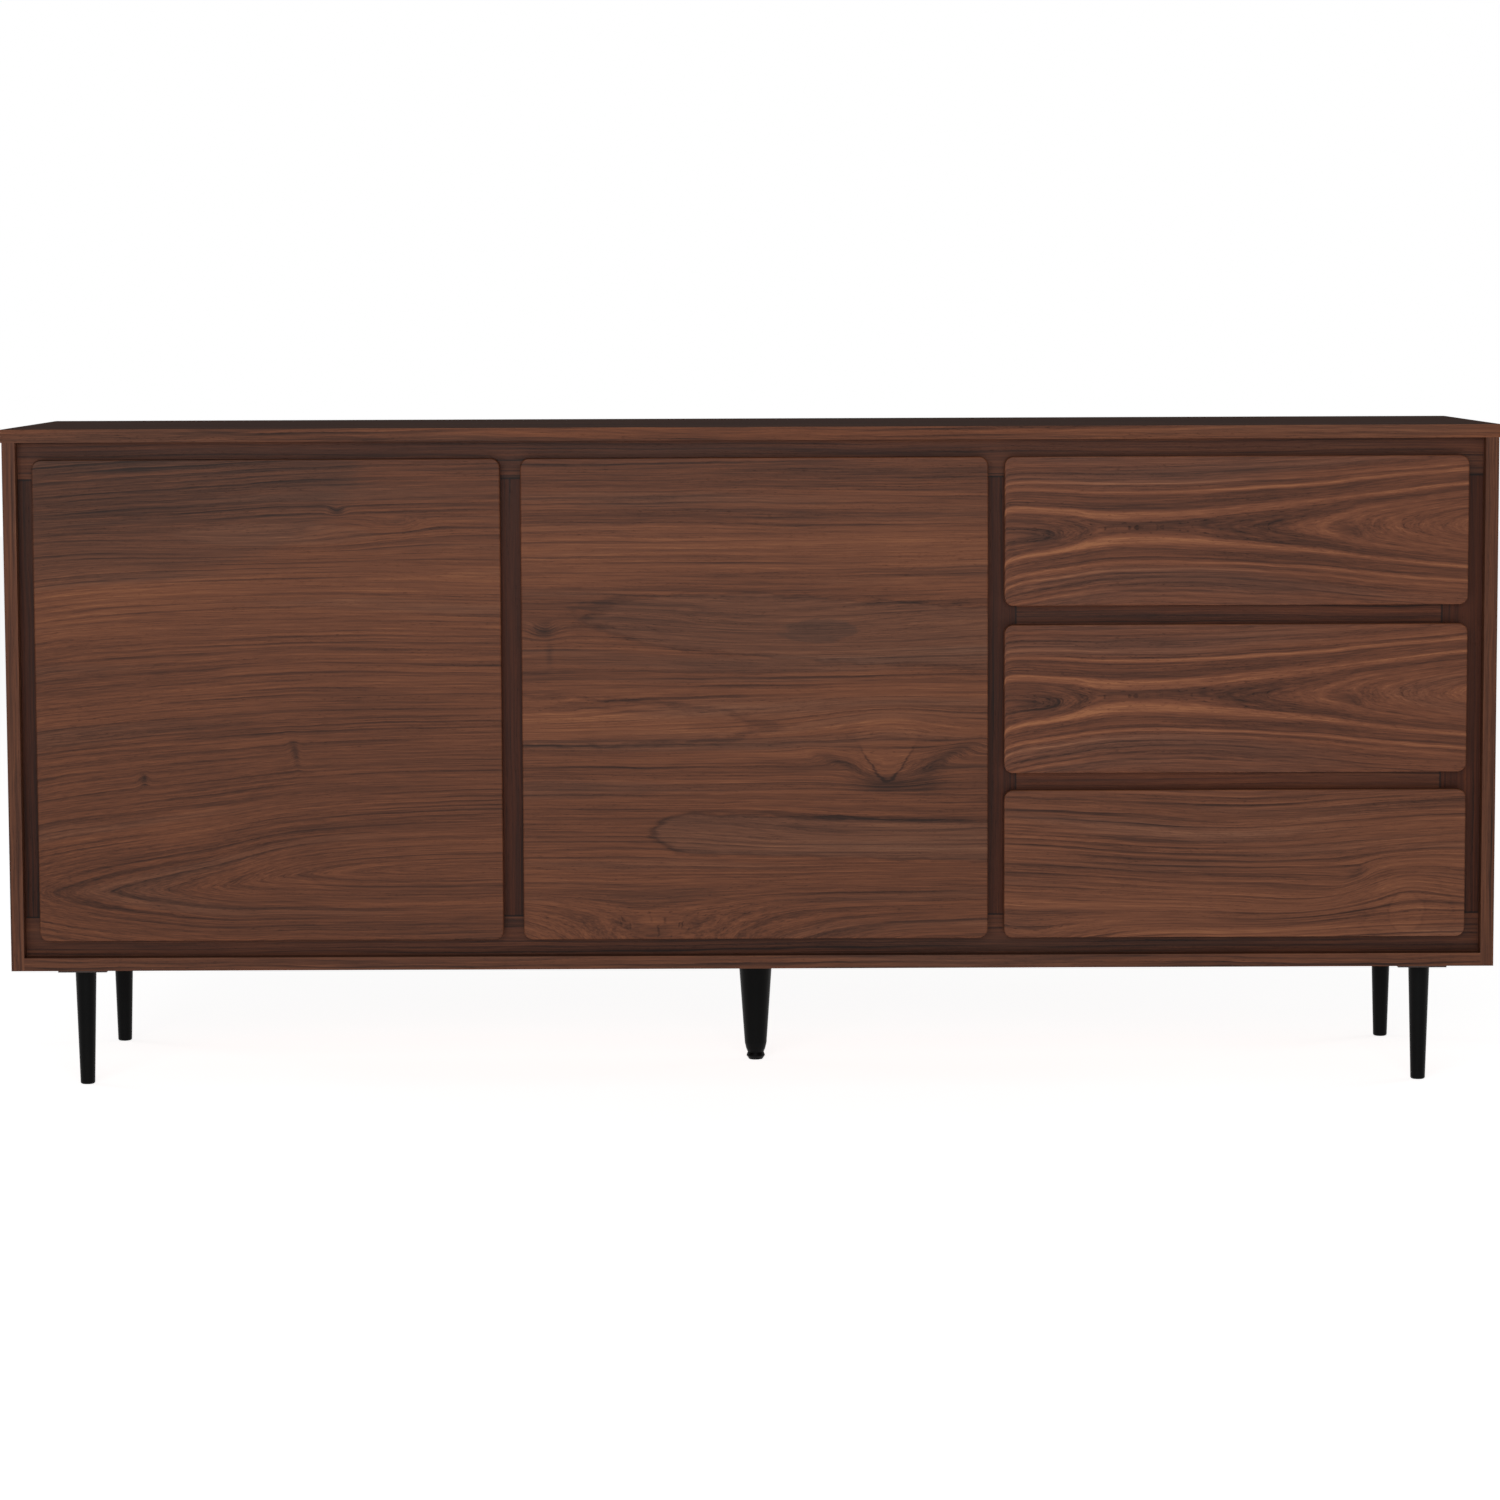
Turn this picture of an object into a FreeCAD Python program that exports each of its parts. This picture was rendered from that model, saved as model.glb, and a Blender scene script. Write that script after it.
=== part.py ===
"""Sideboard buffet: a low veneered case on turned legs, with two doors and a stack of three drawers.

Millimetres. The origin is on the floor under the middle of the case. +X runs along the length, to the
right as seen from the front, +Y runs from the front to the back and +Z is up.
"""
import FreeCAD, Part
import os
import re
import Sketcher
from FreeCAD import Placement, Rotation, Vector

# The driving dimensions: word, value, meaning.
DIMENSIONS = [
    ("top_length", 1830, "length over the top panel"),
    ("depth", 457, "front edge to back edge"),
    ("height", 816, "floor to the upper face of the top panel"),
    ("case_length", 1826, "length over the side panels, a little under the top panel"),
    ("panel", 16, "thickness of the case panels, partitions and shelves"),
    ("clearance", 150, "floor to the underside of the case"),
    ("door_width", 571, "width of each door; the drawer fronts take what is left"),
    ("outer_gap", 20, "side panel to the outermost front"),
    ("door_gap", 25, "between the two doors"),
    ("middle_gap", 20, "between the middle door and the drawers"),
    ("edge_gap", 21, "top or bottom panel to the fronts"),
    ("upper_gap", 23, "between the upper and the middle drawer"),
    ("lower_gap", 21, "between the middle and the lower drawer"),
    ("front_thick", 18, "thickness of doors and drawer fronts"),
    ("front_play", 2, "back of a front to the face frame"),
    ("corner_radius", 11, "rounded corners of the fronts"),
    ("edge_radius", 1.8, "rounded front edge of the fronts"),
    ("door_bevel", 4, "bevel behind a door's edges"),
    ("drawer_bevel", 6, "bevel behind a drawer front's edges, as a finger pull"),
    ("frame_thick", 20, "thickness of the face frame"),
    ("top_rail_width", 45, "face frame rail under the top panel"),
    ("bottom_rail_width", 47, "face frame rail on the bottom panel"),
    ("drawer_rail_width", 48, "face frame rails between the drawers"),
    ("hinge_lap", 28, "how far a door laps the stile that it is hinged on"),
    ("free_lap", 12.5, "how far a front laps the frame at its free edge"),
    ("drawer_lap", 14, "how far the drawer fronts lap the stile on their left"),
    ("back_thick", 5, "thickness of the back panel"),
    ("rabbet", 8, "how far the back panel reaches into the panels round it"),
    ("shelf_level", 475, "floor to the underside of the shelves"),
    ("shelf_setback", 12, "back of the face frame to a shelf's front edge"),
    ("pin_radius", 2.5, "shelf pins and their holes"),
    ("pin_hole", 7.5, "depth of a shelf pin hole"),
    ("shelf_play", 1, "shelf to the panels round it"),
    ("hole_pitch", 32, "step between shelf pin holes"),
    ("dowel_radius", 4, "case dowels"),
    ("dowel_short", 10, "dowel end in the face of a panel"),
    ("dowel_long", 18, "dowel end in the edge of a panel"),
    ("leg_inset_side", 85, "top panel's end to a corner leg's axis"),
    ("leg_inset_front", 59, "case's front or back to a corner leg's axis"),
    ("leg_top_radius", 13, "corner leg at its plate"),
    ("leg_foot_radius", 9, "corner leg at the floor"),
    ("leg_round", 2.5, "rounding of a corner leg's foot"),
    ("plate_side", 60, "square leg plate"),
    ("plate_thick", 6, "thickness of a leg plate"),
    ("plate_hole_inset", 9, "plate's edge to a screw"),
    ("stud_radius", 4, "threaded studs of the legs"),
    ("stud_in_leg", 25, "stud inside a leg"),
    ("stud_in_case", 10, "stud inside the bottom panel"),
    ("screw_radius", 2, "screws of leg plates and hinges"),
    ("screw_head", 4, "radius of their countersunk heads"),
    ("screw_length", 16, "their length under the face"),
    ("tack_radius", 1.5, "screws of the back panel"),
    ("tack_head", 3, "radius of their countersunk heads"),
    ("tack_length", 20, "their length under the face"),
    ("foot_height", 9, "levelling foot under the centre leg"),
    ("foot_radius", 11.7, "its widest radius"),
    ("foot_neck", 10.3, "its radius under the leg"),
    ("foot_base", 8.5, "its radius on the floor"),
    ("foot_play", 0.3, "levelling foot to the centre leg"),
    ("stud_play", 0.05, "radial play of the levelling foot's stud"),
    ("centre_leg_offset", 4, "centre leg's axis to the right of the case's middle"),
    ("centre_top_radius", 22.5, "centre leg at its plate"),
    ("centre_low_radius", 14, "centre leg above its shoulder"),
    ("shoulder_out", 1.9, "how far the centre leg's end widens in its first step"),
    ("shoulder_low", 4.5, "centre leg's end to the top of that step"),
    ("shoulder_high", 12, "centre leg's end to its taper"),
    ("foot_rim_low", 4.5, "floor to the levelling foot's widest part"),
    ("foot_rim_high", 5.5, "floor to the top of that part"),
    ("bore_spare", 1, "bore beyond the end of the levelling foot's stud"),
    ("cup_radius", 17.5, "hinge cup"),
    ("cup_depth", 13, "hinge cup, into the back of the door"),
    ("cup_wall", 0.8, "sheet of the hinge cup"),
    ("cup_setback", 21.5, "door's hinged edge to the cup's axis"),
    ("cup_inset", 95, "door's upper or lower edge to the cup's axis"),
    ("pivot_setback", 9, "door's hinged edge to the pivot's axis"),
    ("pivot_depth", 8.2, "door's back face to the pivot's axis"),
    ("pivot_radius", 1.25, "hinge pin"),
    ("pivot_play", 0.05, "radial play of the pin in the knuckle"),
    ("pivot_half", 10.3, "half the hinge pin's length"),
    ("knuckle_radius", 2.6, "knuckle round the hinge pin"),
    ("knuckle_half", 6, "half the knuckle's height"),
    ("arm_thick", 2.5, "sheet of the hinge arm"),
    ("arm_plate_half", 20, "half the height of the arm's screw plate"),
    ("arm_plate_setback", 1, "face frame's front to the arm's screw plate"),
    ("arm_screw_offset", 13, "middle of the arm's screw plate to a screw"),
    ("catch_width", 12, "magnetic catch along the length"),
    ("catch_depth", 22, "magnetic catch from front to back"),
    ("catch_half", 20, "half the height of a magnetic catch"),
    ("strike_thick", 1.2, "steel strike on a door"),
    ("bumper_radius", 4, "soft bumper on the face frame"),
    ("bumper_thick", 1.5, "its thickness, a little under the play"),
    ("bumper_inset", 27, "face frame's rail to the nearest door bumper"),
    ("slide_length", 400, "each member of a drawer slide"),
    ("slide_width", 12.7, "drawer slide between the case and the drawer box"),
    ("slide_sheet", 1.2, "sheet of the slide members"),
    ("slide_setback", 2, "face frame's front to the slides"),
    ("outer_far", 10, "case to the open side of a slide's outer member"),
    ("outer_half", 23, "half the height of the outer member"),
    ("middle_near", 2.6, "case to the web of the middle member"),
    ("middle_far", 11, "case to the open side of the middle member"),
    ("middle_half", 20.3, "half the height of the middle member"),
    ("inner_near", 6, "case to the open side of the inner member"),
    ("inner_half", 17.6, "half the height of the inner member"),
    ("packer_half", 30, "half the height of the packers that carry the slides"),
    ("box_rise", 10, "frame opening's lower edge to the drawer box"),
    ("box_height", 120, "height of a drawer box"),
    ("box_length", 400, "drawer box from front to back"),
    ("box_board", 12, "thickness of the drawer box's sides and ends"),
    ("base_thick", 5, "thickness of a drawer's base"),
    ("base_rise", 10, "drawer box's lower edge to its base"),
    ("base_groove", 5, "depth of the groove that holds the base"),
    ("slide_rise", 45, "drawer box's lower edge to the middle of its slides"),
]

# Places worked out from the driving dimensions, as expressions in the sheet's words.
FRONT = "(-depth/2)"
BACK = "(depth/2)"
FRAME_FRONT = "(-depth/2 + front_thick + front_play)"
FRAME_BACK = "(-depth/2 + front_thick + front_play + frame_thick)"
FRONT_BACK = "(-depth/2 + front_thick)"
BACK_PANEL = "(depth/2 - back_thick)"
CASE_LEFT = "(-case_length/2 + panel)"
CASE_RIGHT = "(case_length/2 - panel)"
CASE_WIDTH = "(case_length - 2*panel)"
CASE_FLOOR = "(clearance + panel)"
CASE_CEILING = "(height - panel)"
RAIL_FLOOR = "(clearance + panel + bottom_rail_width)"
RAIL_CEILING = "(height - panel - top_rail_width)"
STILE_HEIGHT = f"({RAIL_CEILING} - {RAIL_FLOOR})"
GAPS = "(2*outer_gap + door_gap + middle_gap)"
DRAWER_WIDTH = f"({CASE_WIDTH} - {GAPS} - 2*door_width)"
FRONTS_LOW = f"({CASE_FLOOR} + edge_gap)"
DOOR_HEIGHT = f"({CASE_CEILING} - {CASE_FLOOR} - 2*edge_gap)"
DRAWER_HEIGHT = f"(({DOOR_HEIGHT} - upper_gap - lower_gap)/3)"
LEFT_DOOR = f"({CASE_LEFT} + outer_gap)"
MIDDLE_DOOR = f"({LEFT_DOOR} + door_width + door_gap)"
DRAWERS = f"({MIDDLE_DOOR} + door_width + middle_gap)"
DOOR_PARTITION = f"({MIDDLE_DOOR} - door_gap/2 - panel/2)"
DRAWER_PARTITION = f"({DRAWERS} - middle_gap/2 - panel/2)"
OPENING_LEFT = f"({DRAWERS} + drawer_lap)"
OPENING_RIGHT = f"({CASE_RIGHT} - outer_gap - hinge_lap)"
PLATE_FLOOR = "(clearance - plate_thick)"
SHELF_PIN_LEVEL = "(shelf_level - pin_radius)"

# Slide members: nearest to the case, farthest from it, half the height, whether the web is near the case.
OUTER_MEMBER = ("0", "outer_far", "outer_half", True)
MIDDLE_MEMBER = ("middle_near", "middle_far", "middle_half", True)
INNER_MEMBER = ("inner_near", "slide_width", "inner_half", False)

# Where repeated fasteners stand along the depth, from the middle of the case.
DOWEL_ROWS = (-150, 20, 190)
SHELF_PIN_ROWS = (-120, 150)
TACK_COLUMNS = (-840, -520, -170, 170, 520, 840)
TACK_LEVELS = (230, 483, 736)

# Edges that lie this near to a plane count as lying in it.
NEAR = 0.01

TURNS = {
    "x": Rotation(Vector(0, 1, 0), 90),
    "-x": Rotation(Vector(0, 1, 0), -90),
    "y": Rotation(Vector(1, 0, 0), -90),
    "-y": Rotation(Vector(1, 0, 0), 90),
    "z": Rotation(),
    "-z": Rotation(Vector(1, 0, 0), 180),
}

doc = FreeCAD.newDocument("Sideboard")
sheet = doc.addObject("Spreadsheet::Sheet", "Sizes")
for row, (word, size, meaning) in enumerate(DIMENSIONS, start=1):
    sheet.set(f"A{row}", word)
    sheet.set(f"B{row}", str(size))
    sheet.setAlias(f"B{row}", word)
    sheet.set(f"C{row}", meaning)
doc.recompute()

subparts = []


def sized(text):
    """An expression in the sheet's words, as FreeCAD reads it."""
    return re.sub(r"[a-z]\w+", r"Sizes.\g<0>", str(text))


def bind(item, prop, text):
    item.setExpression(prop, sized(text))


def put(item, place):
    for axis, text in zip("xyz", place):
        bind(item, f"Placement.Base.{axis}", text)


def box(name, low, size):
    """A box from its lowest corner."""
    item = doc.addObject("Part::Box", name)
    for prop, text in zip(("Length", "Width", "Height"), size):
        bind(item, prop, text)
    put(item, low)
    return item


def rod(name, start, along, radius, length):
    """A cylinder from the centre of one end, along a named direction."""
    item = doc.addObject("Part::Cylinder", name)
    item.Placement = Placement(Vector(), TURNS[along])
    bind(item, "Radius", radius)
    bind(item, "Height", length)
    put(item, start)
    return item


def screw(name, face, along, radius, head, length):
    """A countersunk screw: its head is flush with the face that it is driven into."""
    shank = rod(name + "_shank", face, along, radius, length)
    cone = doc.addObject("Part::Cone", name + "_cone")
    cone.Placement = Placement(Vector(), TURNS[along])
    bind(cone, "Radius1", head)
    bind(cone, "Radius2", radius)
    bind(cone, "Height", f"{head} - {radius}")
    put(cone, face)
    return fuse(name, [shank, cone])


def fuse(name, items):
    item = doc.addObject("Part::MultiFuse", name)
    item.Shapes = items
    return item


def group(name, items):
    """Separate solids held in one object."""
    item = doc.addObject("Part::Compound", name)
    item.Links = items
    return item


def cut(name, base, tool):
    item = doc.addObject("Part::Cut", name)
    item.Base = base
    item.Tool = tool
    return item


def subpart(item, label):
    """Give an object the label that names its file."""
    item.Label = label
    subparts.append(item)
    return item


def plane(body, role):
    return next(item for item in body.Origin.OriginFeatures if item.Role == role)


def sketch(body, role, name):
    item = body.newObject("Sketcher::SketchObject", name)
    item.AttachmentSupport = [(plane(body, role), "")]
    item.MapMode = "FlatFace"
    return item


def outline(item, corners):
    """Draw a closed outline whose corners are bound to expressions."""
    count = len(corners)
    rough = [Vector(*(sheet.evalExpression(sized(text)) for text in corner), 0) for corner in corners]
    for n in range(count):
        item.addGeometry(Part.LineSegment(rough[n], rough[(n + 1) % count]), False)
    for n in range(count):
        item.addConstraint(Sketcher.Constraint("Coincident", n, 2, (n + 1) % count, 1))
    for n, corner in enumerate(corners):
        for kind, axis, value in zip(("DistanceX", "DistanceY"), corner, rough[n]):
            number = item.addConstraint(Sketcher.Constraint(kind, -1, 1, n, 1, value))
            bind(item, f"Constraints[{number}]", axis)


def circle(item, centre, radius):
    """Draw a circle whose centre and radius are bound to expressions."""
    rough = [sheet.evalExpression(sized(text)) for text in (*centre, radius)]
    edge = item.addGeometry(Part.Circle(Vector(rough[0], rough[1], 0), Vector(0, 0, 1), rough[2]), False)
    item.addConstraint(Sketcher.Constraint("DistanceX", -1, 1, edge, 3, rough[0]))
    bind(item, f"Constraints[{item.ConstraintCount - 1}]", centre[0])
    item.addConstraint(Sketcher.Constraint("DistanceY", -1, 1, edge, 3, rough[1]))
    bind(item, f"Constraints[{item.ConstraintCount - 1}]", centre[1])
    item.addConstraint(Sketcher.Constraint("Radius", edge, rough[2]))
    bind(item, f"Constraints[{item.ConstraintCount - 1}]", radius)


def edges_where(shape, test):
    return [f"Edge{n}" for n, edge in enumerate(shape.Edges, start=1) if test(edge)]


def turned(name, corners):
    """A PartDesign body turned about +Z from a half outline of radius and height."""
    body = doc.addObject("PartDesign::Body", name)
    half = sketch(body, "XZ_Plane", name + "_half")
    outline(half, corners)
    turn = body.newObject("PartDesign::Revolution", name + "_turn")
    turn.Profile = half
    turn.ReferenceAxis = (half, ["V_Axis"])
    turn.Angle = 360
    doc.recompute()
    return body


def front_board(name, place, wide, high, bevel, cups=()):
    """A door or drawer front: rounded corners, a rounded front edge, a bevelled back edge, cup bores.

    The body's own origin is at the lower left corner of the back face.
    """
    body = doc.addObject("PartDesign::Body", name)
    face = sketch(body, "XZ_Plane", name + "_face")
    outline(face, [(0, 0), (wide, 0), (wide, high), (0, high)])
    pad = body.newObject("PartDesign::Pad", name + "_pad")
    pad.Profile = face
    bind(pad, "Length", "front_thick")
    doc.recompute()
    thick = sheet.evalExpression(sized("front_thick"))

    def across(edge):
        return edge.BoundBox.YLength > thick / 2

    def at_front(edge):
        return edge.BoundBox.YMax < NEAR - thick

    def at_back(edge):
        return edge.BoundBox.YMin > -NEAR

    steps = [
        ("PartDesign::Fillet", "corners", across, "Radius", "corner_radius"),
        ("PartDesign::Fillet", "front_edge", at_front, "Radius", "edge_radius"),
        ("PartDesign::Chamfer", "back_edge", at_back, "Size", bevel),
    ]
    last = pad
    for kind, title, test, prop, size in steps:
        step = body.newObject(kind, f"{name}_{title}")
        step.Base = (last, edges_where(last.Shape, test))
        bind(step, prop, size)
        doc.recompute()
        last = step
    if cups:
        bores = sketch(body, "XZ_Plane", name + "_bores")
        for centre in cups:
            circle(bores, centre, "cup_radius")
        pocket = body.newObject("PartDesign::Pocket", name + "_pocket")
        pocket.Profile = bores
        bind(pocket, "Length", "cup_depth")
        pocket.Reversed = True
        doc.recompute()
        if pocket.Shape.Volume > last.Shape.Volume - 1:
            raise ValueError(f"the cup bores of {name} cut nothing")
    put(body, place)
    return body


def case_fasteners():
    """Dowels between the case panels and the screws of the back panel."""
    dowels = []
    whole = "dowel_short + dowel_long"
    for depth in DOWEL_ROWS:
        for side, along in ((-1, "-x"), (1, "x")):
            axis = f"({side}*(case_length - panel)/2)"
            low = (axis, depth, f"{CASE_CEILING} - dowel_long")
            dowels.append(rod("dowel", low, "z", "dowel_radius", whole))
            inner = f"({side}*({CASE_WIDTH}/2 - dowel_long))"
            start = (inner, depth, "clearance + panel/2")
            dowels.append(rod("dowel", start, along, "dowel_radius", whole))
        for left in (DOOR_PARTITION, DRAWER_PARTITION):
            axis = f"({left} + panel/2)"
            for level in (f"{CASE_CEILING} - dowel_long", f"{CASE_FLOOR} - dowel_short"):
                dowels.append(rod("dowel", (axis, depth, level), "z", "dowel_radius", whole))
    places = []
    for level in ("clearance + panel - rabbet/2", "height - panel + rabbet/2"):
        places += [(column, level) for column in TACK_COLUMNS]
    columns = [f"{side}*({CASE_WIDTH}/2 + rabbet/2)" for side in (-1, 1)]
    columns += [f"{left} + panel/2" for left in (DOOR_PARTITION, DRAWER_PARTITION)]
    for column in columns:
        places += [(column, level) for level in TACK_LEVELS]
    tacks = []
    for x, z in places:
        tacks.append(screw("tack", (x, BACK, z), "-y", "tack_radius", "tack_head", "tack_length"))
    return group("case_dowels", dowels), group("back_panel_screws", tacks)


def shelf_pin_holes(name, face_x, along):
    """Two columns of blind holes in the face of an upright panel."""
    holes = []
    for depth in SHELF_PIN_ROWS:
        for step in (-2, -1, 0, 1, 2):
            place = (face_x, depth, f"{SHELF_PIN_LEVEL} + {step}*hole_pitch")
            holes.append(rod(name, place, along, "pin_radius", "pin_hole"))
    return holes


def case(legs_in_case):
    """The panels of the case, with their rabbets, dowel bores and shelf pin holes."""
    dowels, tacks = case_fasteners()
    board = box(
        "back_board",
        (f"{CASE_LEFT} - rabbet", BACK_PANEL, f"{CASE_FLOOR} - rabbet"),
        (f"{CASE_WIDTH} + 2*rabbet", "back_thick", f"{CASE_CEILING} - {CASE_FLOOR} + 2*rabbet"),
    )
    subpart(cut("back_panel", board, tacks), "back_panel")
    upright = f"{CASE_CEILING} - {CASE_FLOOR}"
    side_height = f"{CASE_CEILING} - clearance"
    top = box("top_board", ("-top_length/2", FRONT, CASE_CEILING), ("top_length", "depth", "panel"))
    bottom = box("bottom_board", (CASE_LEFT, FRONT, "clearance"), (CASE_WIDTH, "depth", "panel"))
    left = box("left_board", ("-case_length/2", FRONT, "clearance"), ("panel", "depth", side_height))
    right = box("right_board", (CASE_RIGHT, FRONT, "clearance"), ("panel", "depth", side_height))
    boards = [
        ("top_panel", top, []),
        ("bottom_panel", bottom, legs_in_case),
        ("left_side_panel", left, shelf_pin_holes("hole", CASE_LEFT, "-x")),
        ("right_side_panel", right, []),
    ]
    uprights = [
        ("door_bay_partition", DOOR_PARTITION, ("x", "-x")),
        ("drawer_bay_partition", DRAWER_PARTITION, ("x",)),
    ]
    for label, low_x, drilled in uprights:
        deep = f"{BACK_PANEL} - {FRAME_BACK}"
        plain = box(label + "_board", (low_x, FRAME_BACK, CASE_FLOOR), ("panel", deep, upright))
        holes = []
        for along in drilled:
            face_x = low_x if along == "x" else f"{low_x} + panel"
            holes += shelf_pin_holes("hole", face_x, along)
        boards.append((label, plain, holes))
    for label, plain, extra in boards:
        rabbeted = cut(label + "_rabbeted", plain, board)
        drilled = cut(label + "_drilled", rabbeted, group(label + "_fasteners", [dowels, tacks]))
        if extra:
            drilled = cut(label + "_finished", drilled, group(label + "_holes", extra))
        subpart(drilled, label)
    subpart(dowels, "case_dowels")
    subpart(tacks, "back_panel_screws")


def face_frame():
    """Rails and stiles behind the fronts. Returns the drawer openings' lower edges, top first."""
    full = (CASE_WIDTH, "frame_thick")
    subpart(box("top_rail", (CASE_LEFT, FRAME_FRONT, RAIL_CEILING), (*full, "top_rail_width")), "top_rail")
    low = (CASE_LEFT, FRAME_FRONT, CASE_FLOOR)
    subpart(box("bottom_rail", low, (*full, "bottom_rail_width")), "bottom_rail")
    stiles = [
        ("left_stile", CASE_LEFT, "outer_gap + hinge_lap"),
        ("door_stile", f"{MIDDLE_DOOR} - door_gap - free_lap", "door_gap + 2*free_lap"),
        ("drawer_stile", f"{DRAWERS} - middle_gap - hinge_lap", "middle_gap + hinge_lap + drawer_lap"),
        ("right_stile", OPENING_RIGHT, "outer_gap + hinge_lap"),
    ]
    drilled = {}
    for label, low_x, wide in stiles:
        low = (low_x, FRAME_FRONT, RAIL_FLOOR)
        drilled[label] = box(label + "_board", low, (wide, "frame_thick", STILE_HEIGHT))
    rail_width = f"{OPENING_RIGHT} - {OPENING_LEFT}"
    gaps = [
        ("upper_drawer_rail", f"{FRONTS_LOW} + 2*{DRAWER_HEIGHT} + lower_gap + upper_gap/2"),
        ("lower_drawer_rail", f"{FRONTS_LOW} + {DRAWER_HEIGHT} + lower_gap/2"),
    ]
    for label, middle in gaps:
        low = (OPENING_LEFT, FRAME_FRONT, f"{middle} - drawer_rail_width/2")
        subpart(box(label, low, (rail_width, "frame_thick", "drawer_rail_width")), label)
    floors = [f"({middle} + drawer_rail_width/2)" for label, middle in gaps]
    return drilled, floors + [RAIL_FLOOR]


def shelves():
    """One shelf in each door bay, on four pins."""
    pins = []
    bays = [
        ("left_shelf", CASE_LEFT, DOOR_PARTITION),
        ("middle_shelf", f"({DOOR_PARTITION} + panel)", DRAWER_PARTITION),
    ]
    for label, left, right in bays:
        low = (f"{left} + shelf_play", f"{FRAME_BACK} + shelf_setback", "shelf_level")
        deep = f"{BACK_PANEL} - {FRAME_BACK} - shelf_setback - shelf_play"
        size = (f"{right} - {left} - 2*shelf_play", deep, "panel")
        subpart(box(label, low, size), label)
        for depth in SHELF_PIN_ROWS:
            for face, along in ((left, -1), (right, 1)):
                start = f"{face} - pin_hole" if along < 0 else f"{face} - pin_hole - shelf_play"
                place = (start, depth, SHELF_PIN_LEVEL)
                pins.append(rod("shelf_pin", place, "x", "pin_radius", "2*pin_hole + shelf_play"))
    subpart(group("shelf_pins", pins), "shelf_pins")


def legs():
    """Four tapered corner legs and a stouter centre leg on plates. Returns the fasteners in the case."""
    places = {}
    for end, across in (("front", -1), ("rear", 1)):
        for side, along in (("left", -1), ("right", 1)):
            x = f"({along}*(top_length/2 - leg_inset_side))"
            y = f"({across}*(depth/2 - leg_inset_front))"
            places[f"{end}_{side}_leg"] = (x, y)
    places["centre_leg"] = ("centre_leg_offset", "0")
    plates = []
    studs = []
    screws = []
    for label, (x, y) in places.items():
        low = (f"{x} - plate_side/2", f"{y} - plate_side/2", PLATE_FLOOR)
        plates.append(box("plate", low, ("plate_side", "plate_side", "plate_thick")))
        start = (x, y, f"{PLATE_FLOOR} - stud_in_leg")
        long = "stud_in_leg + plate_thick + stud_in_case"
        studs.append(rod("leg_stud", start, "z", "stud_radius", long))
        for dx in (-1, 1):
            for dy in (-1, 1):
                reach = "(plate_side/2 - plate_hole_inset)"
                face = (f"{x} + {dx}*{reach}", f"{y} + {dy}*{reach}", PLATE_FLOOR)
                screws.append(screw("plate_screw", face, "z", "screw_radius", "screw_head", "screw_length"))
        if label == "centre_leg":
            base = "foot_height + foot_play"
            body = turned(label + "_turned", [
                (0, base),
                ("foot_neck", base),
                ("foot_neck + shoulder_out", f"{base} + shoulder_low"),
                ("centre_low_radius", f"{base} + shoulder_high"),
                ("centre_top_radius", PLATE_FLOOR),
                (0, PLATE_FLOOR),
            ])
            wide = "stud_radius + stud_play"
            hollow = rod("foot_bore", (x, y, base), "z", wide, "stud_in_leg + bore_spare")
            leg = cut(label + "_bored", cut("centre_leg_bore", body, hollow), studs[-1])
        else:
            body = turned(label + "_turned", [
                (0, 0),
                ("leg_foot_radius", 0),
                ("leg_top_radius", PLATE_FLOOR),
                (0, PLATE_FLOOR),
            ])
            turn = body.Tip
            rounding = body.newObject("PartDesign::Fillet", label + "_rounding")
            rounding.Base = (turn, edges_where(turn.Shape, lambda edge: edge.BoundBox.ZMax < NEAR))
            bind(rounding, "Radius", "leg_round")
            leg = cut(label + "_bored", body, studs[-1])
        put(body, (x, y, 0))
        subpart(leg, label)
    studs = group("leg_studs", studs)
    screws = group("leg_plate_screws", screws)
    plates = cut("leg_plates_bored", group("leg_plates_plain", plates), studs)
    subpart(cut("leg_plates", plates, screws), "leg_plates")
    subpart(studs, "leg_studs")
    subpart(screws, "leg_plate_screws")
    foot = turned("levelling_foot_turned", [
        (0, 0),
        ("foot_base", 0),
        ("foot_radius", "foot_rim_low"),
        ("foot_radius", "foot_rim_high"),
        ("foot_neck", "foot_height"),
        ("stud_radius", "foot_height"),
        ("stud_radius", "foot_height + stud_in_leg"),
        (0, "foot_height + stud_in_leg"),
    ])
    put(foot, ("centre_leg_offset", 0, 0))
    subpart(foot, "levelling_foot")
    return [studs, screws]


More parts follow.
